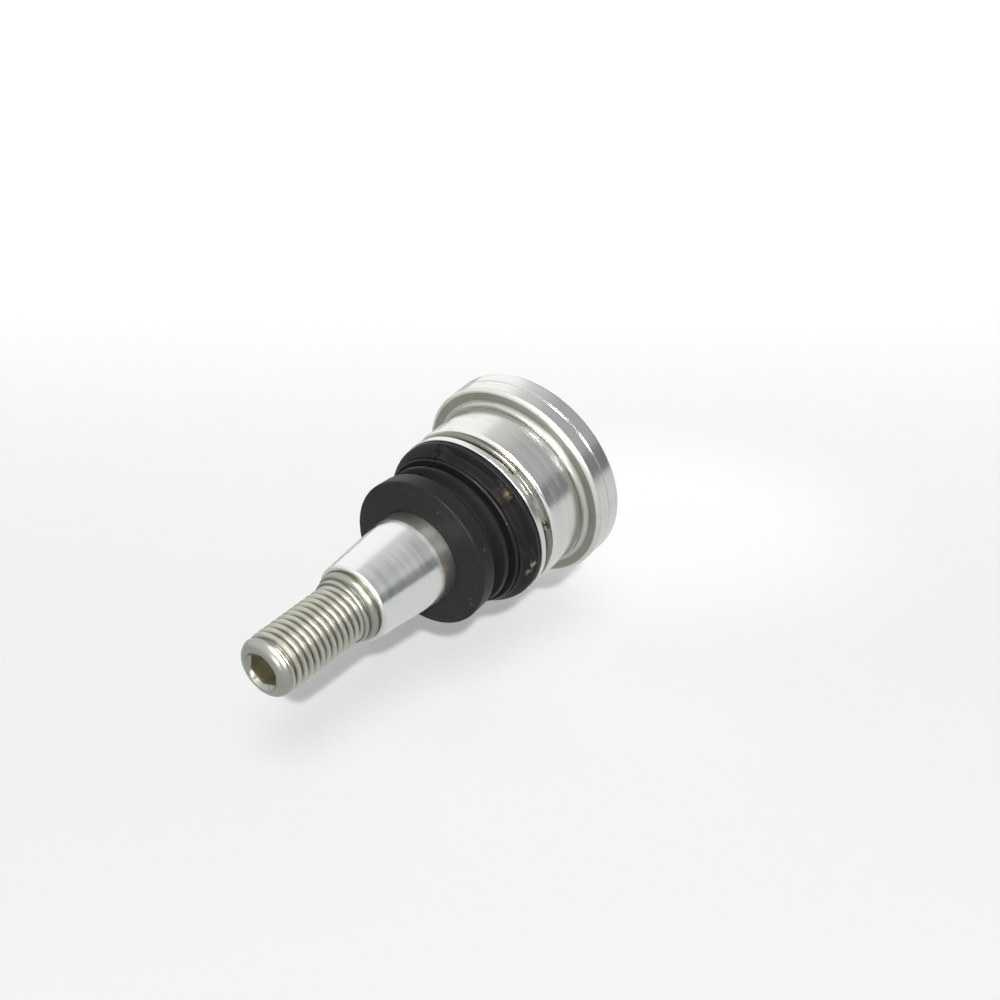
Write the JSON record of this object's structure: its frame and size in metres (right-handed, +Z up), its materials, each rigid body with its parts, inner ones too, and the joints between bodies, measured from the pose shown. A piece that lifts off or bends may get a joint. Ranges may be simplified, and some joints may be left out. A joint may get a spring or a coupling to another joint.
{
  "type": "suspension ball joint",
  "caption": "Press-in suspension ball joint: flanged round housing, tapered stud with a threaded end and hexagon socket, ribbed rubber boot and a wire retaining ring.",
  "frame": {"origin": "centre of the ball, on the housing's axis", "axes": "+Z runs up the housing's axis towards the stud; the stud leans by 4.5 degrees towards +X and -Y"},
  "size_m": [0.0432, 0.0432, 0.0802],
  "materials": {
    "machined_steel": "turned",
    "stud_steel": "satin",
    "plated_steel": "zinc plated",
    "spring_steel": "drawn wire",
    "bearing_plastic": "moulded",
    "boot_rubber": "matte"
  },
  "bodies": {
    "housing_body": {"housing": "machined_steel", "end_cover": "plated_steel", "preload_spring": "spring_steel", "lower_bearing_shell": "bearing_plastic", "upper_bearing_shell": "bearing_plastic", "boot_clamp_ring": "plated_steel", "retaining_ring": "spring_steel"},
    "boot_body": {"dust_boot": "boot_rubber"},
    "collar_body": {"boot_collar_washer": "plated_steel"},
    "stud_body": {"ball_stud": "stud_steel"}
  },
  "joints": [
    {"name": "azimuth", "type": "hinge", "parent": "housing_body", "child": "boot_body", "pos_m": [0, 0, 0], "axis": [0, 0, 1], "continuous": true},
    {"name": "tilt", "type": "hinge", "parent": "boot_body", "child": "collar_body", "pos_m": [0, 0, 0], "axis": [0.8049, 0.5934, 0], "range_deg": [-28.5, 19.5], "deforming": ["dust_boot"]},
    {"name": "spin", "type": "hinge", "parent": "collar_body", "child": "stud_body", "pos_m": [0, 0, 0], "axis": [0.0466, -0.0632, 0.9969], "continuous": true}
  ]
}
